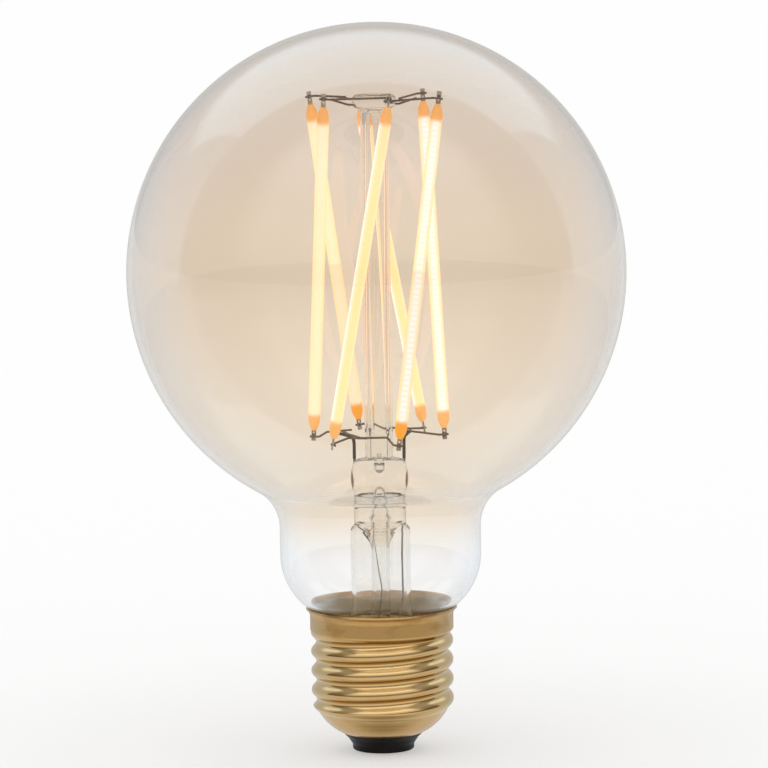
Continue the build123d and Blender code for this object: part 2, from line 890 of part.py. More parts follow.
# Fuse resistor with its own two wires, on the way to the centre contact
with BuildPart() as fuse_resistor:
    with BuildSketch(Plane.XY.offset(fuse_foot)):
        Circle(fuse_radius)
    extrude(amount=fuse_length)
    fillet(fuse_resistor.edges().filter_by(GeomType.CIRCLE), fuse_rounding)
    with BuildSketch(Plane.XY.offset(fuse_foot - fuse_drop)):
        Circle(fuse_wire_diameter / 2)
    extrude(amount=fuse_drop + fuse_length + fuse_tail)
finish(fuse_resistor, "fuse_resistor")

straight_wire("live_wire", (0, 0, 0), (0, 0, fuse_foot - fuse_drop), live_wire_diameter)

# Shell wire, from the board to the root of the thread at the wire's own level
shell_wire_level = board_top + shell_wire_rise
shell_wire_angle = 360 * (shell_wire_level - thread_start - thread_pitch / 2) / thread_pitch
shell_wire_end = Vector(bore_radius - wire_gap, 0, shell_wire_level)
shell_wire_knee = Vector(bore_radius - shell_wire_reach, 0, shell_wire_level)
shell_wire_foot = Vector(shell_wire_knee.X, 0, board_top)
bent_wire(
    "shell_wire",
    [
        point.rotate(Axis.Z, shell_wire_angle)
        for point in (shell_wire_foot, shell_wire_knee, shell_wire_end)
    ],
    link_diameter,
    link_bend,
)
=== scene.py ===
import logging
import math
from abc import ABC, abstractmethod
from dataclasses import dataclass
from enum import Enum

import bmesh
import bpy
import numpy as np
from mathutils import Matrix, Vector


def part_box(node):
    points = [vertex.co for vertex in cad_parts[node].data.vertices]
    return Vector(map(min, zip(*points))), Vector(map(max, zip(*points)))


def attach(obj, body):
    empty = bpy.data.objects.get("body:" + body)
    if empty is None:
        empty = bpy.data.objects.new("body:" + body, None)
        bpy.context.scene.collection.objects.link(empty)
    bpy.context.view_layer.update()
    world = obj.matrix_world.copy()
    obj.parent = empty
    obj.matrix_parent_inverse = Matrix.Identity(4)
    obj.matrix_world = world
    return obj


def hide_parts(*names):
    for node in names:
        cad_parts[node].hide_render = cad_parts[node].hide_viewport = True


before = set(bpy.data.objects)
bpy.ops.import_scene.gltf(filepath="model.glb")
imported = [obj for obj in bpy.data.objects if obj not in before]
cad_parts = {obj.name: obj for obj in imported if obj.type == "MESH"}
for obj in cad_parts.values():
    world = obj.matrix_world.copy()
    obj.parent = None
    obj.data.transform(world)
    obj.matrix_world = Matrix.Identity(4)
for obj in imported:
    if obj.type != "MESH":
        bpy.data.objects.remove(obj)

LOG = logging.getLogger("lamp")
MM = 0.001
TURN = 2.0 * math.pi
QUARTER = math.pi / 2
SEAM_METRES = 2e-7
SHARP_ANGLE = math.radians(50.0)
ON_AXIS = 1e-9
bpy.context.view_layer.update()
SCENE = bpy.context.scene
Colour = tuple[float, float, float]
Stops = tuple[tuple[float, Colour], ...]
Span = tuple[float, ...]
Corners = tuple[tuple[float, float], ...]
Point = tuple[float, float] | np.ndarray
# A profile is an array of points, each a radius and a level. A grid is rows of points in space.
Profile = np.ndarray
Grid = np.ndarray
Material = bpy.types.Material
Socket = bpy.types.NodeSocket
Value = float | Socket
Inputs = dict[int | str, object]
WHITE: Colour = (1.0, 1.0, 1.0)
EVEN: Span = (1.0, 1.0, 1.0)
GLASS: Inputs = {"Roughness": 0.0, "IOR": 1.5, "Transmission Weight": 1.0}


class Sheet:
    """Builds the nodes of one material or world, with plain calls for the usual steps."""

    def __init__(self, tree: bpy.types.NodeTree) -> None:
        """Starts from an empty tree."""
        self.tree = tree
        tree.nodes.clear()

    def node(self, kind: str, inputs: Inputs | None = None, **settings: object) -> bpy.types.Node:
        """Adds a node, sets its properties and fills its inputs.

        Args:
            kind: Blender's name of the node type.
            inputs: socket to link or constant to set, by the name or number of the input.
            settings: properties of the node and their values.

        Returns:
            The new node.
        """
        node = self.tree.nodes.new(kind)
        for name, value in settings.items():
            setattr(node, name, value)
        for key, value in (inputs or {}).items():
            if isinstance(value, Socket):
                self.tree.links.new(value, node.inputs[key])
            else:
                node.inputs[key].default_value = value
        return node

    def place(self) -> Socket:
        """The object coordinates, in metres."""
        return self.node("ShaderNodeTexCoord").outputs["Object"]

    def attribute(self, name: str) -> Socket:
        """A number that the mesh keeps for each of its points."""
        return self.node("ShaderNodeAttribute", attribute_name=name).outputs["Fac"]

    def split(self, vector: Socket) -> tuple[Socket, ...]:
        """The three parts of a vector."""
        return tuple(self.node("ShaderNodeSeparateXYZ", {0: vector}).outputs)

    def math(self, operation: str, first: Value, second: Value = 0.0) -> Socket:
        """One step of arithmetic on numbers."""
        return self.node("ShaderNodeMath", {0: first, 1: second}, operation=operation).outputs[0]

    def waver(self, value: Socket, noise: Socket, amount: float) -> Socket:
        """Shifts a value by noise round its middle, up to half the amount either way."""
        shift = self.math("MULTIPLY", self.math("SUBTRACT", noise, 0.5), amount)
        return self.math("ADD", value, shift)

    def span(self, value: Value, start: float, end: float, low: float = 0.0,
             high: float = 1.0) -> Socket:
        """Carries a value smoothly from low, up to the start, to high, from the end on."""
        numbers = dict(enumerate((value, start, end, low, high)))
        return self.node("ShaderNodeMapRange", numbers, interpolation_type="SMOOTHSTEP").outputs[0]

    def mix(self, share: Value, first: Colour | Socket, second: Colour | Socket) -> Socket:
        """Mixes two colours, with the share that the second one has."""
        a, b = (c if isinstance(c, Socket) else (*c, 1.0) for c in (first, second))
        return self.node("ShaderNodeMix", {0: share, 6: a, 7: b}, data_type="RGBA").outputs[2]

    def ramp(self, value: Socket, stops: Stops) -> Socket:
        """Turns a number between 0 and 1 into a colour along a row of stops.

        Args:
            value: the number.
            stops: pairs of position and colour.

        Returns:
            The socket with the colour.
        """
        node = self.node("ShaderNodeValToRGB", {0: value})
        line = node.color_ramp.elements
        while len(line) < len(stops):
            line.new(0.5)
        for element, (position, colour) in zip(line, stops):
            element.position = position
            element.color = (*colour, 1.0)
        return node.outputs[0]

    def noise(self, vector: Socket, scale: float, detail: float, stretch: Span = EVEN) -> Socket:
        """Noise between 0 and 1: clouds in a metre, finer layers and a factor on each axis."""
        moved = self.node("ShaderNodeMapping", {"Vector": vector, "Scale": stretch}).outputs[0]
        return self.node(
            "ShaderNodeTexNoise", {"Vector": moved, "Scale": scale, "Detail": detail}).outputs[0]

    def bump(self, height: Socket, strength: float, depth: float) -> Socket:
        """A normal that follows a height: the share of it that shows and its depth in metres."""
        numbers = {"Height": height, "Strength": strength, "Distance": depth}
        return self.node("ShaderNodeBump", numbers).outputs[0]


@dataclass(frozen=True)
class Finish(ABC):
    """A look that one principled shader gives to a material."""

    name: str

    @abstractmethod
    def inputs(self, sheet: Sheet) -> Inputs:
        """Adds the nodes of the finish and says what the shader is fed with."""

    def material(self) -> Material:
        """Makes the material of the finish.

        Returns:
            The new material.
        """
        material = bpy.data.materials.new(self.name)
        material.use_nodes = True
        sheet = Sheet(material.node_tree)
        shader = sheet.node("ShaderNodeBsdfPrincipled", self.inputs(sheet))
        sheet.node("ShaderNodeOutputMaterial", {"Surface": shader.outputs[0]})
        return material


@dataclass(frozen=True)
class TintedGlass(Finish):
    """Clear glass with an amber coat, darker and greyer towards the top, that fades out in the
    neck, with a painted reflection where it is seen edge-on.
    """

    name: str = "tinted_glass"
    # Darker, greyer colour towards the top of the globe.
    darker_top: Colour = (0.865, 0.785, 0.705)
    amber: Colour = (0.90, 0.81, 0.705)
    pale: Colour = (0.94, 0.868, 0.77)
    clear: Colour = (0.985, 0.985, 0.985)
    # Paler, greyer colour painted where the glass is seen edge-on: a painted reflection of the room
    # at the globe's rim, not a colour of the coat.
    rim: Colour = (0.90, 0.885, 0.88)
    fade: Span = (36.5 * MM, 46.0 * MM)
    pale_span: Span = (60.0 * MM, 85.0 * MM)
    darker_top_span: Span = (92.0 * MM, 116.0 * MM)
    painted_rim_reflection_span: Span = (0.2, 0.6, 0.0, 0.65)
    drift: float = 3.0 * MM

    def inputs(self, sheet: Sheet) -> Inputs:
        """Lets the tint follow the height, with some drift, and paints a paler, greyer reflection
        where glass is seen edge-on.

        Args:
            sheet: where the nodes go.

        Returns:
            What the shader is fed with.
        """
        place = sheet.place()
        clouds = sheet.noise(place, scale=60.0, detail=2.0)
        level = sheet.waver(sheet.split(place)[2], clouds, self.drift)
        coat = sheet.mix(sheet.span(level, *self.pale_span), self.pale, self.amber)
        # Darker and greyer towards the top.
        coat = sheet.mix(sheet.span(level, *self.darker_top_span), coat, self.darker_top)
        # Painted reflection: seen edge-on, the coat gives way to the paler rim colour, in place of
        # the room reflected at the rim.
        facing = sheet.node("ShaderNodeLayerWeight").outputs["Facing"]
        coat = sheet.mix(sheet.span(facing, *self.painted_rim_reflection_span), coat, self.rim)
        return GLASS | {"Base Color": sheet.mix(sheet.span(level, *self.fade), self.clear, coat)}


@dataclass(frozen=True)
class ClearGlass(Finish):
    """Drawn clear glass of the stem and tubes, with faint streaks along its length."""

    name: str = "clear_glass"
    colour: Colour = (0.975, 0.97, 0.955)
    streak: Colour = (0.93, 0.92, 0.89)
    streak_span: Span = (0.45, 0.8)
    scale: float = 900.0
    detail: float = 3.0
    stretch: Span = (1.0, 1.0, 0.05)

    def inputs(self, sheet: Sheet) -> Inputs:
        """Draws streaks that run up the tubes."""
        noise = sheet.noise(sheet.place(), self.scale, self.detail, self.stretch)
        return GLASS | {
            "Base Color": sheet.mix(sheet.span(noise, *self.streak_span), self.colour, self.streak)}


@dataclass(frozen=True)
class AgedBrass(Finish):
    """Lacquered brass: a yellow thread, and a browner, duller collar and foot of the dome."""

    name: str = "cap_brass"
    yellow: Colour = (0.74, 0.53, 0.26)
    brown: Colour = (0.67, 0.43, 0.18)
    rust: Colour = (0.45, 0.25, 0.08)
    speck: Colour = (0.25, 0.15, 0.06)
    roughness: float = 0.15
    collar_dull: float = 0.14
    dome_dull: float = 0.08
    collar_span: Span = (22.3 * MM, 23.3 * MM)
    dome_span: Span = (8.0 * MM, 4.0 * MM)
    brown_span: Span = (0.5, 0.75, 0.1, 0.5)
    rust_span: Span = (0.48, 0.66, 0.0, 0.55)
    speck_span: Span = (0.66, 0.76, 0.0, 0.5)
    speck_relief: float = 0.6

    def inputs(self, sheet: Sheet) -> Inputs:
        """Lays patina by height, cloudy patches, turning lines and small specks.

        Args:
            sheet: where the nodes go.

        Returns:
            What the shader is fed with.
        """
        place = sheet.place()
        level = sheet.split(place)[2]
        cloud = sheet.noise(place, scale=190.0, detail=6.0, stretch=(1.0, 1.0, 1.8))
        lines = sheet.noise(place, scale=2600.0, detail=3.0, stretch=(0.05, 0.05, 1.0))
        specks = sheet.noise(place, scale=2400.0, detail=4.0)
        collar = sheet.span(level, *self.collar_span)
        dome = sheet.span(level, *self.dome_span)
        aged = sheet.math("MAXIMUM", sheet.math("MAXIMUM", collar, dome),
                          sheet.span(cloud, *self.brown_span))
        colour = sheet.mix(aged, self.yellow, self.brown)
        patch = sheet.math("MULTIPLY", collar, sheet.span(cloud, *self.rust_span))
        colour = sheet.mix(patch, colour, self.rust)
        dull = sheet.math("ADD", sheet.math("MULTIPLY", collar, self.collar_dull),
                          sheet.math("MULTIPLY", dome, self.dome_dull))
        relief = sheet.math("ADD", lines, sheet.math("MULTIPLY", specks, self.speck_relief))
        return {
            "Base Color": sheet.mix(sheet.span(specks, *self.speck_span), colour, self.speck),
            "Metallic": 1.0,
            "Roughness": sheet.math("ADD", dull, self.roughness),
            "Normal": sheet.bump(relief, strength=0.14, depth=0.02 * MM),
        }


@dataclass(frozen=True)
class Phosphor(Finish):
    """Silicone full of phosphor, glowing cream along the chips and orange at its cold ends."""

    name: str = "phosphor"
    chip_glow: Colour = (1.2, 0.95, 0.95)
    side_glow: Colour = (1.15, 0.80, 0.48)
    back_glow: Colour = (1.15, 0.85, 0.72)
    dot_glow: Colour = (1.3, 1.05, 1.25)
    cold: Colour = (0.60, 0.29, 0.09)
    deep: Colour = (0.63, 0.28, 0.0)
    body: Colour = (0.92, 0.52, 0.16)
    ripe_body: Colour = (0.82, 0.28, 0.005)
    body_shade: float = 0.9
    shade_span: Span = (0.3, 0.7)
    side_span: Span = (0.06, 0.2)
    back_span: Span = (0.3, 0.44)
    dot_length: Span = (0.36, 0.16)
    dot_width: Span = (0.10, 0.045)
    dot_pitch: float = 0.98
    lit_span: Span = (2.5, 3.7)
    ragged: float = 0.6
    roughness: float = 0.45

    def inputs(self, sheet: Sheet) -> Inputs:
        """Lights the bar by three numbers on its mesh.

        They are the millimetres to the nearer end, the turns from the chip side and whether the
        end is one of the deep yellow ones.

        Args:
            sheet: where the nodes go.

        Returns:
            What the shader is fed with.
        """
        reach, turn, ripe = (sheet.attribute(name) for name in ("reach", "turn", "ripe"))
        side = sheet.math("ABSOLUTE", turn)
        glow = sheet.mix(sheet.span(side, *self.side_span), self.chip_glow, self.side_glow)
        glow = sheet.mix(sheet.span(side, *self.back_span), glow, self.back_glow)
        phase = sheet.math("FRACT", sheet.math("DIVIDE", reach, self.dot_pitch))
        off = sheet.math("ABSOLUTE", sheet.math("SUBTRACT", phase, 0.5))
        dot = sheet.math("MULTIPLY", sheet.span(off, *self.dot_length),
                         sheet.span(side, *self.dot_width))
        glow = sheet.mix(dot, glow, self.dot_glow)
        grain = sheet.noise(sheet.place(), scale=1500.0, detail=3.0)
        lit = sheet.span(sheet.waver(reach, grain, self.ragged), *self.lit_span)
        shaded = tuple(self.body_shade * part for part in self.body)
        warm = sheet.mix(sheet.span(grain, *self.shade_span), self.body, shaded)
        dark = sheet.mix(ripe, self.cold, self.deep)
        return {
            "Base Color": sheet.mix(ripe, warm, self.ripe_body),
            "Emission Color": sheet.mix(lit, dark, glow),
            "Emission Strength": 1.0,
            "Roughness": self.roughness,
            "Normal": sheet.bump(grain, strength=0.3, depth=0.04 * MM),
        }


@dataclass(frozen=True)
class DullFinish(Finish):
    """Moulded, baked or lacquered surface, with as much metal in it as its finish is given."""

    colour: Colour
    patch: Colour
    roughness: float = 0.6
    scale: float = 1800.0
    metallic: float = 0.0
    specular: float = 0.5
    patch_span: Span = (0.38, 0.66)
    rough_span: Span = (0.3, 0.7)
    spread: Span = (-0.1, 0.1)
    relief: Span = (0.35, 0.05 * MM)
    relief_scale: float = 0.0

    def inputs(self, sheet: Sheet) -> Inputs:
        """Lays patches of the second colour and a relief, by the same clouds if it has no scale.

        Args:
            sheet: where the nodes go.

        Returns:
            What the shader is fed with.
        """
        place = sheet.place()
        cloud = sheet.noise(place, self.scale, detail=4.0)
        grain = sheet.noise(place, self.relief_scale, detail=2.0) if self.relief_scale else cloud
        low, high = (self.roughness + part for part in self.spread)
        return {
            "Base Color": sheet.mix(sheet.span(cloud, *self.patch_span), self.colour, self.patch),
            "Metallic": self.metallic,
            "Specular IOR Level": self.specular,
            "Roughness": sheet.span(cloud, *self.rough_span, low, high),
            "Normal": sheet.bump(grain, *self.relief),
        }


@dataclass(frozen=True)
class BlackMoulding(DullFinish):
    """Black moulded insulator, half shiny and slightly dusty, with a fine orange-peel surface."""

    name: str = "insulator_black"
    colour: Colour = (0.004, 0.0035, 0.0038)
    patch: Colour = (0.009, 0.008, 0.008)
    roughness: float = 0.32
    scale: float = 420.0
    specular: float = 0.12
    patch_span: Span = (0.4, 0.75)
    spread: Span = (0.0, 0.18)
    relief: Span = (0.3, 0.02 * MM)
    relief_scale: float = 3200.0


@dataclass(frozen=True)
class MetalFinish(DullFinish):
    """Plain metal with a second colour in patches and drawing marks."""

    roughness: float = 0.35
    scale: float = 500.0
    metallic: float = 1.0
    patch_span: Span = (0.4, 0.65)
    spread: Span = (0.0, 0.2)
    relief: Span = (0.2, 0.01 * MM)
    relief_scale: float = 6000.0


@dataclass(frozen=True)
class FloorWhite(Finish):
    """Plain matt white with some light of its own, so that the floor runs into the room."""

    name: str = "floor_white"
    colour: Colour = (0.6, 0.6, 0.6)
    glow: float = 0.39
    roughness: float = 0.9

    def inputs(self, sheet: Sheet) -> Inputs:
        """Plain constants, as the floor has no texture."""
        return {
            "Base Color": (*self.colour, 1.0), "Roughness": self.roughness,
            "Specular IOR Level": 0.0,
            "Emission Color": (*WHITE, 1.0), "Emission Strength": self.glow,
        }


def arc(centre: Point, radius: float, start: float, end: float, count: int) -> Profile:
    """Points of a circular arc: centre plus radius times the cosine and sine of even angles.

    Args:
        centre: radius and level of the centre.
        radius: radius of the arc.
        start: first angle in radians.
        end: last angle in radians.
        count: number of points.

    Returns:
        The profile, with points on the axis set to it exactly.
    """
    angle = np.linspace(start, end, count)
    across, level = centre[0] + radius * np.cos(angle), centre[1] + radius * np.sin(angle)
    return np.column_stack((np.where(np.abs(across) < ON_AXIS, 0.0, across), level))


def run(*corners: Point, count: int = 2) -> Profile:
    """Points along straight runs between corners.

    Args:
        corners: points, each a radius and a level.
        count: number of points on each run.

    Returns:
        The profile, with each inner corner twice.
    """
    ends = np.array(corners, float)
    share = np.linspace(0.0, 1.0, count)[:, None]
    return (ends[:-1, None] + (ends[1:, None] - ends[:-1, None]) * share).reshape(-1, 2)


def between(first: float, last: float, share: np.ndarray) -> np.ndarray:
    """Values that go from the first to the last by a share."""
    return first + (last - first) * share


def round_angles(sides: int) -> np.ndarray:
    """Even angles of one full turn, in radians."""
    return np.arange(sides) * (TURN / sides)


def wrapped(radius: np.ndarray, level: np.ndarray, sides: int) -> Grid:
    """Rings round the Z axis: x is r cos a, y is r sin a and z is the level.

    Args:
        radius: grid of radii, or a column of them for round rings.
        level: column of levels.
        sides: number of steps round the axis.

    Returns:
        The grid, one row for each level.
    """
    angle = round_angles(sides)
    height = np.broadcast_to(level, (len(level), sides))
    return np.stack((radius * np.cos(angle), radius * np.sin(angle), height), -1)


def turned(profile: Profile, sides: int) -> Grid:
    """Grid of a profile turned round the Z axis."""
    return wrapped(profile[:, :1], profile[:, 1:], sides)


def grid_faces(rows: int, sides: int, ring: bool) -> np.ndarray:
    """Quads between neighbouring rows of a grid whose rows are closed rings.

    Args:
        rows: number of rows.
        sides: number of points in a row.
        ring: whether the last row joins the first.

    Returns:
        Array of four point numbers for each quad.
    """
    row = np.arange(rows if ring else rows - 1)[:, None]
    side = np.arange(sides)[None, :]
    below, beside = (row + 1) % rows, (side + 1) % sides
    corners = ((row, side), (below, side), (below, beside), (row, beside))
    return np.stack([across * sides + along for across, along in corners], -1).reshape(-1, 4)


@dataclass
class Surface:
    """A grid of points in millimetres with closed rows, and numbers kept for its points."""

    points: Grid
    ring: bool = False
    flipped: bool = False
    numbers: dict[str, np.ndarray] | None = None


def make_piece(name: str, surfaces: list[Surface], material: Material) -> bpy.types.Object:
    """Makes one piece from surfaces, merges its seams and poles and lets it ride on the lamp.

    Args:
        name: name of the piece.
        surfaces: grids that form the piece together.
        material: finish of the piece.

    Returns:
        The new object.
    """
    points, faces, numbers, start = [], [], {}, 0
    for surface in surfaces:
        rows, sides = surface.points.shape[:2]
        quads = grid_faces(rows, sides, surface.ring) + start
        faces.append(quads[:, ::-1] if surface.flipped else quads)
        points.append(surface.points.reshape(-1, 3) * MM)
        for key, grid in (surface.numbers or {}).items():
            numbers.setdefault(key, []).append(np.broadcast_to(grid, (rows, sides)).reshape(-1))
        start += rows * sides
    mesh = bpy.data.meshes.new(name)
    mesh.from_pydata(np.concatenate(points).tolist(), [], np.concatenate(faces).tolist())
    for key, parts in numbers.items():
        layer = mesh.attributes.new(key, "FLOAT", "POINT")
        layer.data.foreach_set("value", np.concatenate(parts).astype(np.float32))
    work = bmesh.new()
    work.from_mesh(mesh)
    bmesh.ops.remove_doubles(work, verts=work.verts, dist=SEAM_METRES)
    work.to_mesh(mesh)
    work.free()
    mesh.polygons.foreach_set("use_smooth", np.ones(len(mesh.polygons), bool))
    mesh.set_sharp_from_angle(angle=SHARP_ANGLE)
    mesh.materials.append(material)
    piece = bpy.data.objects.new(name, mesh)
    SCENE.collection.objects.link(piece)
    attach(piece, "root")
    LOG.info("%s: %d points", name, len(mesh.vertices))
    return piece


def dress(material: Material, *nodes: str) -> None:
    """Gives a finish to nodes whose own shape stays.

    Args:
        material: the finish.
        nodes: names of the nodes.
    """
    for name in nodes:
        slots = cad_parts[name].data.materials
        slots.clear()
        slots.append(material)


def extent(node: str) -> tuple[float, float, float]:
    """Lowest and highest level of a node and its reach along X, in millimetres."""
    low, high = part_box(node)
    return low.z / MM, high.z / MM, high.x / MM


@dataclass
class Envelope:
    """Blown globe with its neck, shoulder and sealed end, sizes in millimetres."""

    neck_radius: float = 18.6
    neck_fillet: float = 8.5
    neck_length: float = 5.0
    wall: float = 0.9
    shoulder_radius: float = 12.3
    end_radius: float = 11.6
    end_fillet: float = 1.5
    sides: int = 224

    def sheet_profile(self, inset: float) -> Profile:
        """Profile of one side of the wall from the top of the globe down to the seal.

        The arcs of the globe, neck fillet, shoulder and end are tangent to each other.

        Args:
            inset: depth below the outside.

        Returns:
            The profile.
        """
        seal, top, globe = extent("envelope")
        centre, reach = top - globe, globe + self.neck_fillet
        turn = math.pi - math.asin((self.neck_radius + self.neck_fillet) / reach)
        neck_top = centre + reach * math.cos(turn)
        span = self.shoulder_radius + self.end_fillet
        bend = math.acos(1.0 - (self.neck_radius - self.end_radius) / span)
        hub = (self.neck_radius - self.shoulder_radius, neck_top - self.neck_length)
        end_hub = (hub[0] + span * math.cos(bend), hub[1] - span * math.sin(bend))
        end = self.end_radius - inset
        return np.concatenate((
            arc((0.0, centre), globe - inset, QUARTER, QUARTER - turn, count=150),
            arc((self.neck_radius + self.neck_fillet, neck_top), self.neck_fillet + inset,
                1.5 * math.pi - turn, math.pi, count=26)[1:],
            arc(hub, self.shoulder_radius - inset, 0.0, -bend, count=26),
            arc(end_hub, self.end_fillet + inset, math.pi - bend, math.pi, count=10)[1:],
            run((end, end_hub[1]), (end, seal))[1:],
        ))

    def build(self, glass: Material) -> None:
        """Makes the wall: the outside down to the seal, then the inside back up.

        Args:
            glass: finish of the globe.
        """
        profile = np.concatenate((self.sheet_profile(0.0), self.sheet_profile(self.wall)[::-1]))
        surface = Surface(turned(profile, self.sides))
        piece = make_piece("globe_glass", [surface], glass)
        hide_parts("envelope")


@dataclass
class Stem:
    """Flare, pinch, exhaust tube and support tube, fused into one clear glass, in millimetres."""

    radius: float = 5.5
    wall: float = 0.65
    flare_radius: float = 9.5
    flange_radius: float = 11.6
    flange_ledge: float = 1.2
    throat_radius: float = 4.75
    throat_length: float = 2.6
    throat_height: float = 1.6
    funnel_height: float = 5.0
    funnel_bend: float = 15.0
    pinch_blend: float = 1.1
    pinch_height: float = 6.4
    pinch_half: float = 5.33
    pinch_top_half: float = 4.95
    pinch_foot_half: float = 4.72
    pinch_depth_half: float = 2.9
    pinch_rounding: float = 1.0
    pinch_squareness: float = 3.2
    lid_rise: float = 0.2
    lid_power: float = 0.8
    blow_radius: float = 1.05
    blow_drop: float = 1.2
    blow_depth: float = 1.3
    blow_power: float = 0.7
    blow_top: float = 0.85
    exhaust_radius: float = 1.7
    exhaust_bore: float = 1.15
    exhaust_tip: float = 1.2
    bore_end: float = 1.7
    bore_end_drop: float = 0.2
    bore_start_drop: float = 0.3
    bulge: float = 0.3
    bulge_width: float = 0.45
    bulge_rise: float = 1.1
    support_radius: float = 2.6
    support_bore: float = 1.5
    support_foot: float = 0.25
    hollow_floor: float = 0.12
    button_height: float = 2.6
    button_rounding: float = 1.0
    button_floor: float = 0.3
    button_fillet: float = 0.4
    skin: float = 0.05
    sides: int = 128
    hollow_sides: int = 64
    blow_sides: int = 48

    def squared_rings(self, stations: np.ndarray) -> Grid:
        """Rings that go from round to squared.

        Each ring has x as a times the cosine and y as b times the sine of the angle, both raised to
        2 / n with their signs kept, so that n = 2 is an ellipse and more is squarer.

        Args:
            stations: rows of half width a, half depth b, squareness n and level.

        Returns:
            The grid, one ring for each station.
        """
        angle = round_angles(self.sides)
        a, b, n, level = (stations[:, i:i + 1] for i in range(4))
        cos, sin = np.cos(angle)[None, :], np.sin(angle)[None, :]
        x = a * np.sign(cos) * np.abs(cos) ** (2.0 / n)
        y = b * np.sign(sin) * np.abs(sin) ** (2.0 / n)
        return np.stack((x, y, np.broadcast_to(level, x.shape)), -1)

    def rings(self, profile: Profile) -> np.ndarray:
        """Round stations from a profile."""
        radius, level = profile.T
        return np.column_stack((radius, radius, np.full_like(radius, 2.0), level))

    def button(self) -> Profile:
        """Runs from the top of the button down the outside of the support tube to the pinch.

        Returns:
            The profile.
        """
        foot, top, rim = extent("support_tube")
        soft, fillet, tube = self.button_rounding, self.button_fillet, self.support_radius
        under = top - self.button_height
        crown = arc((rim - soft, top - soft), soft, QUARTER, 0.0, count=12)
        skirt = arc((rim - soft, under + soft), soft, 0.0, -QUARTER, count=12)
        joint = arc((tube + fillet, under - fillet), fillet, QUARTER, math.pi, count=8)
        side = run(joint[-1], (tube, foot + self.support_foot), count=24)[1:]
        return np.concatenate((run((0.0, top), crown[0], count=4)[:-1], crown, skirt, joint, side))

    def pinch(self) -> np.ndarray:
        """Gives the pinch a rounded top, bulging sides and a crease over the round throat.

        Returns:
            Stations, each a half width, half depth, squareness and level.
        """
        top = extent("support_tube")[0]
        foot, edge = top - self.pinch_height, top - self.pinch_rounding
        turn = np.linspace(0.0, QUARTER, 18)[1:]
        out, down = np.sin(turn) ** self.lid_power, 1.0 - np.cos(turn) ** self.lid_power
        lid = np.column_stack((
            between(self.support_radius, self.pinch_top_half, out),
            between(self.support_radius, self.pinch_depth_half, out),
            between(2.0, self.pinch_squareness, out),
            top + self.lid_rise - (self.pinch_rounding + self.lid_rise) * down,
        ))
        level = np.linspace(edge, foot, 30)[1:]
        share = (edge - level) / (edge - foot)
        swell = self.pinch_half - (self.pinch_top_half + self.pinch_foot_half) / 2
        straight = between(self.pinch_top_half, self.pinch_foot_half, share)
        block = np.column_stack((
            straight + swell * 4.0 * share * (1.0 - share),
            np.full_like(level, self.pinch_depth_half),
            np.full_like(level, self.pinch_squareness),
            level,
        ))
        out, down = np.sin(turn), 1.0 - np.cos(turn)
        shoulder = np.column_stack((
            between(self.pinch_foot_half, self.throat_radius, out),
            between(self.pinch_depth_half, self.throat_radius, out),
            between(self.pinch_squareness, 2.0, out),
            foot - self.pinch_blend * down,
        ))
        return np.concatenate((lid, block, shoulder))

    def tube(self) -> Profile:
        """Runs down the throat, trumpet and flange, then up the bore to the funnel and the exhaust.

        The throat widens by a smooth step. The funnel is a chord bowed by a parabola.

        Returns:
            The profile.
        """
        seal = extent("envelope")[0]
        tip, funnel_foot, _ = extent("exhaust_tube")
        throat_top = funnel_foot + self.funnel_height
        ledge = self.flange_radius - self.flange_ledge
        bend = math.acos(1.0 - (ledge - self.radius) / self.flare_radius)
        hub = (self.radius + self.flare_radius, seal + self.flare_radius * math.sin(bend))
        lining = arc(hub, self.flare_radius + self.wall, math.pi + bend, math.pi, count=24)
        share = np.linspace(0.0, 1.0, 14)
        widths = between(self.throat_radius, self.radius, share * share * (3.0 - 2.0 * share))
        cone = np.column_stack((widths, throat_top - self.throat_height * share))
        inner = cone[::-1] - (self.wall, 0.0)
        chord = np.array((self.exhaust_radius, funnel_foot)) - inner[-1]
        length = np.linalg.norm(chord)
        bow = self.funnel_bend - math.sqrt(self.funnel_bend**2 - (length / 2) ** 2)
        side = np.array((chord[1], -chord[0])) / length
        hump = bow * (4.0 * share * (1.0 - share))[:, None]
        funnel = inner[-1] + share[:, None] * chord + hump * side
        cap = arc((0.0, tip + self.exhaust_radius), self.exhaust_radius, 0.0, -QUARTER, count=14)
        return np.concatenate((
            run((self.throat_radius, throat_top + self.throat_length), cone[0], count=10)[1:],
            cone[1:],
            arc(hub, self.flare_radius, math.pi, math.pi + bend, count=24),
            run((ledge, seal), (self.flange_radius, seal), count=3)[1:],
            run((self.flange_radius, lining[0, 1]), lining[0], count=3),
            lining[1:], inner, funnel[1:],
            run((self.exhaust_radius, funnel_foot), cap[0], count=14)[1:], cap[1:],
        ))

    def support_hollow(self) -> Profile:
        """Runs down the hollow in the support tube, from its domed roof to a flat floor.

        Returns:
            The profile.
        """
        foot, top, _ = extent("support_tube")
        bore, floor = self.support_bore, foot + self.hollow_floor
        roof = top - self.button_height + self.button_floor
        dome = arc((0.0, roof - bore), bore, QUARTER, 0.0, count=12)
        wall = run(dome[-1], (bore, floor), count=24)
        return np.concatenate((dome, wall[1:], run((bore, floor), (0.0, floor), count=12)[1:]))

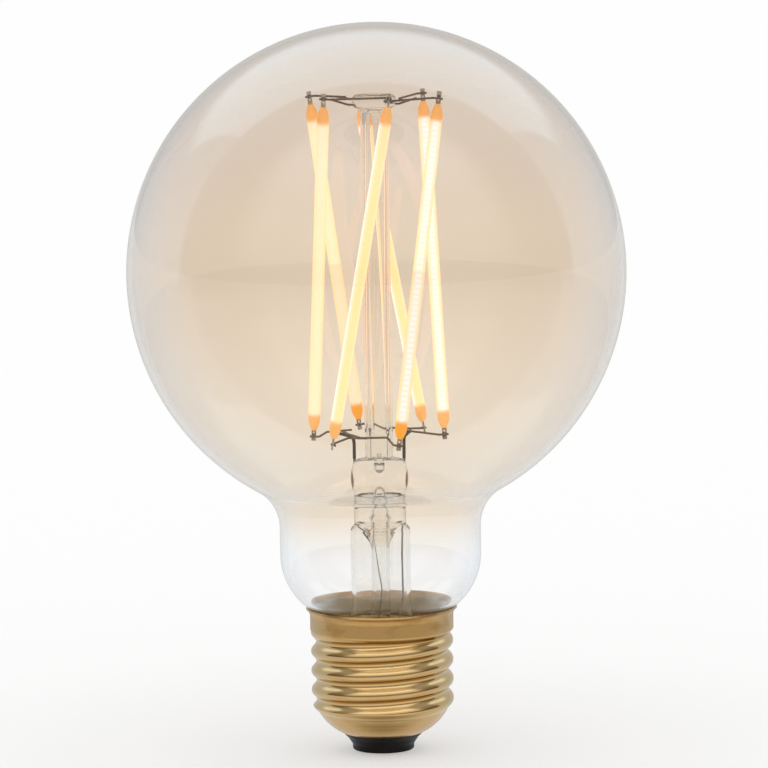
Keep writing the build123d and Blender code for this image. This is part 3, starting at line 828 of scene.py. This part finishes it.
    def exhaust_hollow(self) -> Profile:
        """Runs down the exhaust bore, from a blunt end in the pinch to the sealed tip.

        The end is half an ellipse. Below it the bore swells once in the throat, by a bell curve.

        Returns:
            The profile.
        """
        tip, funnel_foot, _ = extent("exhaust_tube")
        bore, low = self.exhaust_bore, tip + self.exhaust_tip + self.exhaust_bore
        foot = extent("support_tube")[0] - self.pinch_height
        middle = funnel_foot + self.funnel_height + self.bulge_rise
        turn = np.linspace(0.0, QUARTER, 16)
        rise = foot - self.bore_end_drop + self.bore_end * np.cos(turn)
        level = np.linspace(foot - self.bore_start_drop, low, 80)
        bulge = self.bulge * np.exp(-(((level - middle) / self.bulge_width) ** 2))
        return np.concatenate((
            np.column_stack((bore * np.sin(turn), rise)), np.column_stack((bore + bulge, level)),
            arc((0.0, low), bore, 0.0, -QUARTER, count=12)[1:],
        ))

    def blow_hole(self) -> Grid:
        """Sets U-shaped rings one behind the other along Y, for a bubble under the pinch's face.

        A ring is a half circle below. Above it the cosine and sine are raised to a third, for a
        square top. Its radius follows the cosine of a half turn from front to back, raised to a
        power, so it closes at both ends.

        Returns:
            The grid.
        """
        level = extent("support_tube")[0] - self.blow_drop
        turn = np.linspace(-QUARTER, QUARTER, 25)[:, None]
        depth = self.skin - self.pinch_depth_half + self.blow_depth + self.blow_depth * np.sin(turn)
        radius = self.blow_radius * np.cos(turn) ** self.blow_power
        radius[[0, -1]] = 0.0
        angle = round_angles(self.blow_sides)[None, :]
        cos, sin = np.cos(angle), np.sin(angle)
        square, third = sin > 0.0, 1.0 / 3.0
        x = radius * np.where(square, np.sign(cos) * np.abs(cos) ** third, cos)
        z = radius * np.where(square, self.blow_top * np.abs(sin) ** third, sin)
        return np.stack((x, np.broadcast_to(depth, x.shape), level + z), -1)

    def build(self, glass: Material) -> None:
        """Makes the fused glass with the hollows inside it.

        Args:
            glass: finish of the stem.
        """
        outside = np.concatenate((self.rings(self.button()), self.pinch(), self.rings(self.tube())))
        profiles = (self.support_hollow(), self.exhaust_hollow())
        hollows = [*(turned(profile, self.hollow_sides) for profile in profiles), self.blow_hole()]
        surfaces = [Surface(self.squared_rings(outside))]
        surfaces += [Surface(hollow, flipped=True) for hollow in hollows]
        piece = make_piece("stem_glass", surfaces, glass)
        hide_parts("stem_flare", "exhaust_tube", "support_tube")


@dataclass
class Cap:
    """Rolled screw shell, moulded insulator and pressed contact, sizes in millimetres.

    The corners are pairs of a radius and a level: the skirt's below the seat of the shell, the
    recess's above the foot of the insulator and the contact's above its land.
    """

    pitch: float = 3.629
    crest: float = 13.2
    depth: float = 1.0
    root_land: float = 0.7
    crest_width: float = 1.35
    thread_start: float = 6.15
    dome_top: float = 8.2
    dome_radius: float = 9.5
    dome_plain: float = 2.4
    fade: float = 1.4
    runout: float = 0.5
    collar_foot: float = 22.9
    collar_step: float = 1.1
    collar_radius: float = 13.3
    lip_bend: float = 1.6
    lip_reach: float = 0.7
    sheet: float = 0.4
    hole_radius: float = 7.6
    softening: Span = (1.0, 2.0, 3.0, 2.0, 1.0)
    flange_height: float = 0.9
    flange_rest: float = 0.42
    skirt: Corners = ((6.5, 1.1), (5.72, 2.3))
    nose_radius: float = 5.7
    nose_rounding: float = 0.3
    recess: Corners = ((4.85, 0.0), (4.7, 0.15), (4.7, 0.4), (0.5, 0.4))
    press: Corners = ((4.6, 0.3), (2.8, 0.02), (2.4, 0.0), (0.5, 0.0))
    sides: int = 240
    moulding_sides: int = 120
    contact_sides: int = 96
    outer_rows: int = 210
    inner_rows: int = 100

    def core(self) -> float:
        """Radius of the flat land at the root, cut into arcs that fit half a turn and the depth."""
        bend = ((self.pitch / 2) ** 2 + self.depth**2) / (4 * self.depth)
        return self.crest - self.depth + bend - math.sqrt(bend**2 - (self.root_land / 2) ** 2)

    def dome_hub(self) -> tuple[float, float]:
        """Finds the centre of the dome's arc, which runs from the hole to the core radius.

        Returns:
            Its radius and level.
        """
        foot = extent("screw_shell")[0]
        reach, rise = self.core() - self.hole_radius, self.dome_top - foot
        chord = math.hypot(reach, rise)
        lean = math.sqrt(self.dome_radius**2 - (chord / 2) ** 2) / chord
        return self.hole_radius + reach / 2 - rise * lean, foot + rise / 2 + reach * lean

    def thread(self, level: np.ndarray, angle: np.ndarray, inset: float) -> np.ndarray:
        """Radius of the rolled thread over the core and the upper dome.

        The base is the core, or the dome's arc below the dome's top. The ridge is a cosine wave
        that climbs by the pitch in one turn, raised to a power that widens the crests. Near the
        dome a cone cuts the ridge down, and near the collar a cone lifts the base.

        Args:
            level: column of levels.
            angle: row of angles in radians.
            inset: depth below the outside.

        Returns:
            Grid of radii, nowhere less than the base.
        """
        core, hub, bend = self.core(), self.dome_hub(), self.dome_radius - inset
        lift = self.collar_radius - core
        lead = self.thread_start + self.pitch * angle / TURN
        wave = np.cos(TURN * (level - lead) / self.pitch)
        drop = np.clip(hub[1] - level, 0.0, None)
        dome = hub[0] + np.sqrt(np.clip(bend**2 - drop**2, 0.0, None))
        base = np.where(level < self.dome_top, np.minimum(dome, core - inset), core - inset)
        ridge = base + self.crest - core - self.depth * ((1.0 - wave) / 2) ** self.crest_width
        start = base + (level - self.dome_top + self.runout) * lift / self.fade
        step = base + (level - self.collar_foot + self.collar_step) * lift / self.collar_step
        lifted = np.clip(step, base, self.collar_radius - inset)
        return np.maximum(lifted, np.minimum(ridge, start))

    def shell_side(self, inset: float, stations: int) -> Grid:
        """One side of the sheet, from the rim down to the hole.

        The thread's radii are softened by a weighted mean over neighbouring rows.

        Args:
            inset: depth below the outside.
            stations: number of rows on the thread.

        Returns:
            The grid.
        """
        foot, rim, _ = extent("screw_shell")
        turn = math.acos(1.0 - self.lip_reach / self.lip_bend)
        lip_foot = rim - self.lip_bend * math.sin(turn)
        lip = arc((self.collar_radius + self.lip_bend, lip_foot), self.lip_bend + inset,
                  math.pi - turn, math.pi, count=12)
        hub, bend = self.dome_hub(), self.dome_radius - inset
        dome_start = -math.asin((hub[1] - foot - self.dome_plain) / bend)
        dome = arc(hub, bend, dome_start, -math.acos((self.hole_radius - hub[0]) / bend), count=22)
        level = np.linspace(lip_foot, dome[0, 1], stations)[1:-1, None]
        radius = self.thread(level, round_angles(self.sides)[None, :], inset)
        weights = np.array(self.softening) / sum(self.softening)
        padded = np.pad(radius, ((len(weights) // 2,) * 2, (0, 0)), "edge")
        radius = sum(weight * padded[i:i + len(level)] for i, weight in enumerate(weights))
        rolled = wrapped(radius, level, self.sides)
        return np.concatenate((turned(lip, self.sides), rolled, turned(dome, self.sides)))

    def insulator(self) -> Profile:
        """Runs down the outside of the insulator and back up through its hole.

        Returns:
            The profile.
        """
        foot, top, flange = extent("insulator")
        seat, hole, edge = extent("screw_shell")[0], self.hole_radius, self.nose_rounding
        skirt = ((radius, seat - drop) for radius, drop in self.skirt)
        recess = [(radius, foot + rise) for radius, rise in self.recess]
        return np.concatenate((
            run((flange, top), (flange, top - self.flange_height), (hole, seat + self.flange_rest),
                (hole, seat), count=6),
            run((hole, seat), *skirt, count=10)[1:],
            arc((self.nose_radius - edge, foot + edge), edge, 0.0, -QUARTER, count=8),
            run(*recess, (recess[-1][0], top), count=5),
        ))

    def contact(self) -> Profile:
        """Profile of the contact, down outside to its land and back up at the wire."""
        top = extent("centre_contact")[1]
        return run((self.press[0][0], top), *self.press, (self.press[-1][0], top), count=5)

    def build(self, brass: Material, black: Material, tin: Material) -> None:
        """Makes the shell, the insulator and the contact.

        Args:
            brass: finish of the shell.
            black: finish of the insulator.
            tin: finish of the contact.
        """
        outside = self.shell_side(0.0, self.outer_rows)
        wall = np.concatenate((outside, self.shell_side(self.sheet, self.inner_rows)[::-1]))
        shell = make_piece("rolled_shell", [Surface(wall, ring=True)], brass)
        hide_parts("screw_shell")
        solid = Surface(turned(self.insulator(), self.moulding_sides), ring=True)
        moulding = make_piece("moulded_insulator", [solid], black)
        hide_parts("insulator")
        solid = Surface(turned(self.contact(), self.contact_sides), ring=True)
        press = make_piece("pressed_contact", [solid], tin)
        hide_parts("centre_contact")


class Facing(Enum):
    """Which way the chips of a filament look, as an angle from the viewer's side."""

    AWAY = 180.0
    LEFT = -80.0
    VIEWER = 0.0


@dataclass
class FilamentRing:
    """Six leaning filaments with their tabs, sizes in millimetres."""

    width: float = 2.2
    thickness: float = 2.0
    tip_width: float = 0.95
    nose: float = 2.3
    nose_crowding: float = 1.6
    foot_gap: float = 1.2
    head_gap: float = 1.5
    tab_past: float = 0.9
    tab_root: float = 1.0
    sides: int = 40
    ripe_feet: tuple[int, ...] = (3, 6)
    facing: tuple[Facing, ...] = (
        Facing.AWAY, Facing.LEFT, Facing.VIEWER, Facing.VIEWER, Facing.LEFT, Facing.AWAY)

    def welds(self, number: int) -> tuple[np.ndarray, np.ndarray]:
        """Foot and head weld of a filament, from the middles of its two tabs.

        Args:
            number: filament, counted from one.

        Returns:
            The two points.
        """
        boxes = (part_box(f"filament_{number}_{end}_tab") for end in ("foot", "head"))
        foot, head = ((np.array(low) + np.array(high)) / (2 * MM) for low, high in boxes)
        along = (head - foot) / np.linalg.norm(head - foot)
        foot_part = (self.foot_gap + self.tab_root - self.tab_past) / 2
        head_part = (self.head_gap + self.tab_root - self.tab_past) / 2
        return foot - along * foot_part, head + along * head_part

    def body(self, number: int, facing: Facing) -> Surface:
        """A bar with a bullet nose at each end and two flat sides.

        The radius follows an arc over the nose, tangent to the straight part. A ring has x as the
        radius times the cosine, and y as the radius times the sine cut off at half the thickness.

        Args:
            number: filament, counted from one.
            facing: the way its chips look.

        Returns:
            The surface, with the distance to the nearer end and the turn from the chip side.
        """
        foot, head = self.welds(number)
        span = np.linalg.norm(head - foot)
        along = (head - foot) / span
        look = math.radians(facing.value)
        across = np.cross((math.sin(look), -math.cos(look), 0.0), along)
        across /= np.linalg.norm(across)
        front = np.cross(along, across)
        length = span - self.foot_gap - self.head_gap
        nose = np.linspace(0.0, 1.0, 14) ** self.nose_crowding * self.nose
        straight = np.linspace(self.nose, length - self.nose, 110)[1:-1]
        reach = np.concatenate((nose, straight, length - nose[::-1]))
        end = np.minimum(reach, length - reach)
        half, tip = self.width / 2, self.tip_width / 2
        bend = ((half - tip) ** 2 + self.nose**2) / (2 * (half - tip))
        radius = half - bend + np.sqrt(bend**2 - np.clip(self.nose - end, 0.0, None) ** 2)
        radius = np.pad(radius, 1)[:, None]
        reach, end = (np.pad(row, 1, "edge")[:, None] for row in (reach, end))
        angle = round_angles(self.sides)
        x = radius * np.cos(angle)
        y = np.clip(radius * np.sin(angle), -self.thickness / 2, self.thickness / 2)
        start = foot + along * self.foot_gap
        points = start + reach[..., None] * along + x[..., None] * across + y[..., None] * front
        turn = np.abs((angle / TURN - 0.25 + 0.5) % 1.0 - 0.5)
        ripe = np.where(reach < length / 2, 1.0, 0.0) * (number in self.ripe_feet)
        return Surface(points, flipped=True, numbers={"reach": end, "turn": turn, "ripe": ripe})

    def build(self, phosphor: Material, strip: Material) -> None:
        """Makes the six bars and dresses their tabs.

        Args:
            phosphor: finish of the bars.
            strip: finish of the tabs.
        """
        for number, facing in enumerate(self.facing, 1):
            name = f"glowing_bar_{number}"
            piece = make_piece(name, [self.body(number, facing)], phosphor)
            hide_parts(f"filament_{number}")
            dress(strip, f"filament_{number}_foot_tab", f"filament_{number}_head_tab")


@dataclass
class Wiring:
    """Leads, links and the weld beads between wires and tabs, sizes in millimetres."""

    bead: float = 0.5
    bead_share: float = 0.85
    bead_spread: float = 0.2
    bead_height: float = 0.8
    swell: float = 0.16
    dip: float = 0.14
    links: tuple[str, ...] = (
        "anchor_wire", "front_link", "right_link", "back_link", "left_link", "cross_link",
        "left_spur", "right_spur", "front_spur", "front_bridge", "back_bridge")
    leads: tuple[str, ...] = ("left_lead", "right_lead")
    seals: tuple[str, ...] = ("left_seal_wire", "right_seal_wire")
    coppers: tuple[str, ...] = ("left_outer_lead", "right_outer_lead", "live_wire", "shell_wire")

    def lump(self, centre: np.ndarray, seed: int) -> Surface:
        """A bead: a sphere whose radius swells and dips with two waves round it.

        Args:
            centre: middle of the bead.
            seed: number that shifts the waves, so that no two beads are alike.

        Returns:
            The surface.
        """
        tilt = np.linspace(0.0, math.pi, 13)[:, None]
        angle = round_angles(20)[None, :]
        swell = self.swell * np.sin(2 * angle + seed) * np.sin(tilt)
        wave = 1.0 + swell + self.dip * np.cos(3 * tilt + 1.7 * seed)
        radius = self.bead * (self.bead_share + self.bead_spread * math.sin(2.3 * seed)) * wave
        shape = np.stack((
            radius * np.sin(tilt) * np.cos(angle),
            radius * np.sin(tilt) * np.sin(angle),
            self.bead_height * radius * np.cos(tilt),
        ), -1)
        return Surface(centre + shape)

    def build(self, ring: FilamentRing, link: Material, lead: Material, seal: Material,
              copper: Material) -> None:
        """Dresses the wires and adds a bead at each weld of the filaments.

        Args:
            ring: the filaments, which give the places of the welds.
            link: finish of the links and beads.
            lead: finish of the stiff leads.
            seal: finish of the wires in the pinch.
            copper: finish of the thin leads.
        """
        groups = (self.links, self.leads, self.seals, self.coppers)
        for material, nodes in zip((link, lead, seal, copper), groups):
            dress(material, *nodes)
        numbers = range(1, len(ring.facing) + 1)
        centres = [point for number in numbers for point in ring.welds(number)]
        beads = [self.lump(centre, seed) for seed, centre in enumerate(centres)]
        make_piece("weld_beads", beads, link)


@dataclass
class Driver:
    """Circuit board and components inside the cap, with the cement above them, in millimetres."""

    cement_top: float = 26.1
    cement_width: float = 1.25
    cement_edge: float = 0.4
    cement_sides: int = 160
    # The cement's bright golden colour and lighter patches are painted light: they stand in for the
    # warm light of the lit filaments falling into the cap, and its metal makes it shine like the
    # brass.
    cement: Finish = DullFinish(
        "cement", (0.93, 0.69, 0.31), (0.99, 0.80, 0.42), 0.45, metallic=0.6)
    components: tuple[tuple[Finish, tuple[str, ...]], ...] = (
        (DullFinish("board_laminate", (0.36, 0.32, 0.15), (0.45, 0.39, 0.21)), ("driver_board",)),
        (MetalFinish("can_aluminium", (0.62, 0.62, 0.63), (0.5, 0.5, 0.52)), ("capacitor",)),
        (DullFinish("package_black", (0.02, 0.02, 0.021), (0.035, 0.034, 0.034)),
         ("driver_chip", "rectifier")),
        (DullFinish("ferrite", (0.06, 0.055, 0.055), (0.10, 0.085, 0.08)), ("inductor",)),
        (DullFinish("resistor_body", (0.16, 0.30, 0.34), (0.22, 0.38, 0.42), 0.4),
         ("fuse_resistor",)),
    )

    def build(self) -> None:
        """Dresses the driver's nodes and makes the cement, which is drawn up along the collar."""
        for finish, nodes in self.components:
            dress(finish.material(), *nodes)
        foot, _, outer = extent("cap_cement")
        inner = outer - self.cement_width
        top = run((outer, self.cement_top), (inner, foot + self.cement_edge), count=9)
        profile = np.concatenate((top, run((inner, foot), (outer, foot), count=4)))
        ring = Surface(turned(profile, self.cement_sides), ring=True, flipped=True)
        piece = make_piece("cement_ring", [ring], self.cement.material())
        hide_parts("cap_cement")


@dataclass
class Studio:
    """White room, soft light and the camera, sizes in metres unless a name says otherwise.

    In reflections the room's colours are rows of stops over the height, from straight down at 0 to
    straight up at 1. The spans say between which parts of a direction one row gives way to another.
    """

    floor_half: float = 6.0
    distance: float = 0.800
    height: float = 0.16487
    aside: float = 0.00015
    pitch_deg: float = -6.869
    yaw_deg: float = 0.067
    roll_deg: float = -0.869
    lens_mm: float = 204.91
    sensor_mm: float = 36.0
    clip: Span = (0.05, 60.0)
    front: Stops = (
        (0.0, (0.35, 0.30, 0.22)), (0.06, (0.8, 0.75, 0.66)), (0.36, (0.85, 0.80, 0.72)),
        (0.39, (0.58, 0.53, 0.46)), (0.44, (0.5, 0.46, 0.40)), (0.475, (0.22, 0.20, 0.17)),
        (0.53, (0.20, 0.18, 0.16)), (0.61, (0.62, 0.59, 0.54)), (0.70, (0.82, 0.79, 0.74)),
        (0.80, (0.95, 0.93, 0.88)), (0.90, (1.35, 1.33, 1.28)), (1.0, (0.75, 0.75, 0.74)),
    )
    beside: Stops = (
        (0.0, (0.35, 0.30, 0.22)), (0.06, (0.6, 0.57, 0.52)), (0.37, (0.78, 0.74, 0.68)),
        (0.43, (0.64, 0.60, 0.53)), (0.47, (0.16, 0.14, 0.12)), (0.55, (0.10, 0.09, 0.08)),
        (0.60, (0.20, 0.17, 0.13)), (0.8, (0.32, 0.29, 0.25)), (1.0, (0.55, 0.54, 0.52)),
    )
    behind: Stops = (
        (0.0, (0.42, 0.37, 0.28)), (0.08, (0.7, 0.68, 0.64)), (0.3, (0.74, 0.76, 0.80)),
        (0.47, (0.56, 0.66, 0.80)), (0.55, (0.55, 0.64, 0.76)), (0.66, (0.58, 0.59, 0.62)),
        (0.70, (0.62, 0.63, 0.65)), (0.745, (1.0, 1.15, 1.25)), (1.0, (1.05, 1.25, 1.4)),
    )
    far: Colour = (0.62, 0.61, 0.59)
    front_span: Span = (0.25, 0.6)
    behind_span: Span = (0.185, 0.225)
    far_span: Span = (0.8, 0.98)
    roof_span: Span = (0.58, 0.74, 1.0, 0.67)
    bounces: int = 28
    glossy_bounces: int = 12
    transparent_bounces: int = 16

    def camera(self) -> None:
        """Places the camera where the photograph was taken from."""
        data = bpy.data.cameras.new("camera")
        data.lens = self.lens_mm
        data.sensor_width = self.sensor_mm
        data.clip_start, data.clip_end = self.clip
        camera = bpy.data.objects.new("camera", data)
        SCENE.collection.objects.link(camera)
        camera.matrix_world = (
            Matrix.Translation((self.aside, -self.distance, self.height))
            @ Matrix.Rotation(math.radians(-self.yaw_deg), 4, "Z")
            @ Matrix.Rotation(math.radians(90.0 + self.pitch_deg), 4, "X")
            @ Matrix.Rotation(math.radians(self.roll_deg), 4, "Z")
        )
        SCENE.camera = camera

    def floor(self) -> None:
        """Lays a plain white floor under the lamp."""
        half = self.floor_half
        corners = [(-half, -half, 0), (half, -half, 0), (half, half, 0), (-half, half, 0)]
        mesh = bpy.data.meshes.new("floor")
        mesh.from_pydata(corners, [], [(0, 1, 2, 3)])
        mesh.materials.append(FloorWhite().material())
        floor = bpy.data.objects.new("floor", mesh)
        SCENE.collection.objects.link(floor)
        floor.visible_glossy = False

    def world(self) -> None:
        """Surrounds the lamp with a white room, darker on the viewer's side in reflections."""
        world = bpy.data.worlds.new("studio")
        SCENE.world = world
        world.use_nodes = True
        sheet = Sheet(world.node_tree)
        aside, back, up = sheet.split(sheet.node("ShaderNodeTexCoord").outputs["Generated"])
        height = sheet.math("ADD", sheet.math("MULTIPLY", up, 0.5), 0.5)
        squares = (sheet.math("MULTIPLY", part, part) for part in (aside, back))
        flat = sheet.math("MAXIMUM", sheet.math("SQRT", sheet.math("ADD", *squares)), 0.001)
        ahead = sheet.math("DIVIDE", sheet.math("MULTIPLY", back, -1.0), flat)
        room = sheet.mix(sheet.span(ahead, *self.front_span), sheet.ramp(height, self.beside),
                         sheet.ramp(height, self.front))
        roof = sheet.span(sheet.math("ABSOLUTE", aside), *self.roof_span)
        wall = sheet.ramp(sheet.math("MINIMUM", height, roof), self.behind)
        wall = sheet.mix(sheet.span(back, *self.far_span), wall, self.far)
        seen = sheet.mix(sheet.span(back, *self.behind_span), room, wall)
        depth = sheet.node("ShaderNodeLightPath").outputs["Glossy Depth"]
        colour = sheet.mix(sheet.math("MINIMUM", depth, 1.0), WHITE, seen)
        background = sheet.node("ShaderNodeBackground", {"Color": colour, "Strength": 1.0})
        sheet.node("ShaderNodeOutputWorld", {"Surface": background.outputs[0]})

    def build(self) -> None:
        """Sets up the room, the camera and how far light is followed through the glass."""
        self.camera()
        self.floor()
        self.world()
        SCENE.view_settings.view_transform = "Standard"
        SCENE.cycles.max_bounces = self.bounces
        SCENE.cycles.transmission_bounces = self.bounces
        SCENE.cycles.glossy_bounces = self.glossy_bounces
        SCENE.cycles.transparent_max_bounces = self.transparent_bounces


def main() -> None:
    """Builds every part of the lamp and the studio."""
    logging.basicConfig(level=logging.INFO, format="%(name)s: %(message)s")
    tin = MetalFinish("contact_metal", (0.62, 0.60, 0.56), (0.5, 0.48, 0.45))
    strip = MetalFinish("tab_metal", (0.66, 0.62, 0.57), (0.48, 0.42, 0.36))
    wires = (
        MetalFinish("link_metal", (0.20, 0.17, 0.155), (0.34, 0.22, 0.15), 0.4, 350.0),
        MetalFinish("lead_metal", (0.06, 0.05, 0.045), (0.12, 0.085, 0.065), 0.4, 250.0),
        MetalFinish("seal_metal", (0.42, 0.19, 0.10), (0.52, 0.30, 0.18)),
        MetalFinish("copper_wire", (0.30, 0.24, 0.22), (0.36, 0.22, 0.15)),
    )
    Envelope().build(TintedGlass().material())
    Stem().build(ClearGlass().material())
    Cap().build(AgedBrass().material(), BlackMoulding().material(), tin.material())
    ring = FilamentRing()
    ring.build(Phosphor().material(), strip.material())
    Wiring().build(ring, *(finish.material() for finish in wires))
    Driver().build()
    Studio().build()
    LOG.info("lamp finished")


if __name__ == "__main__":
    main()
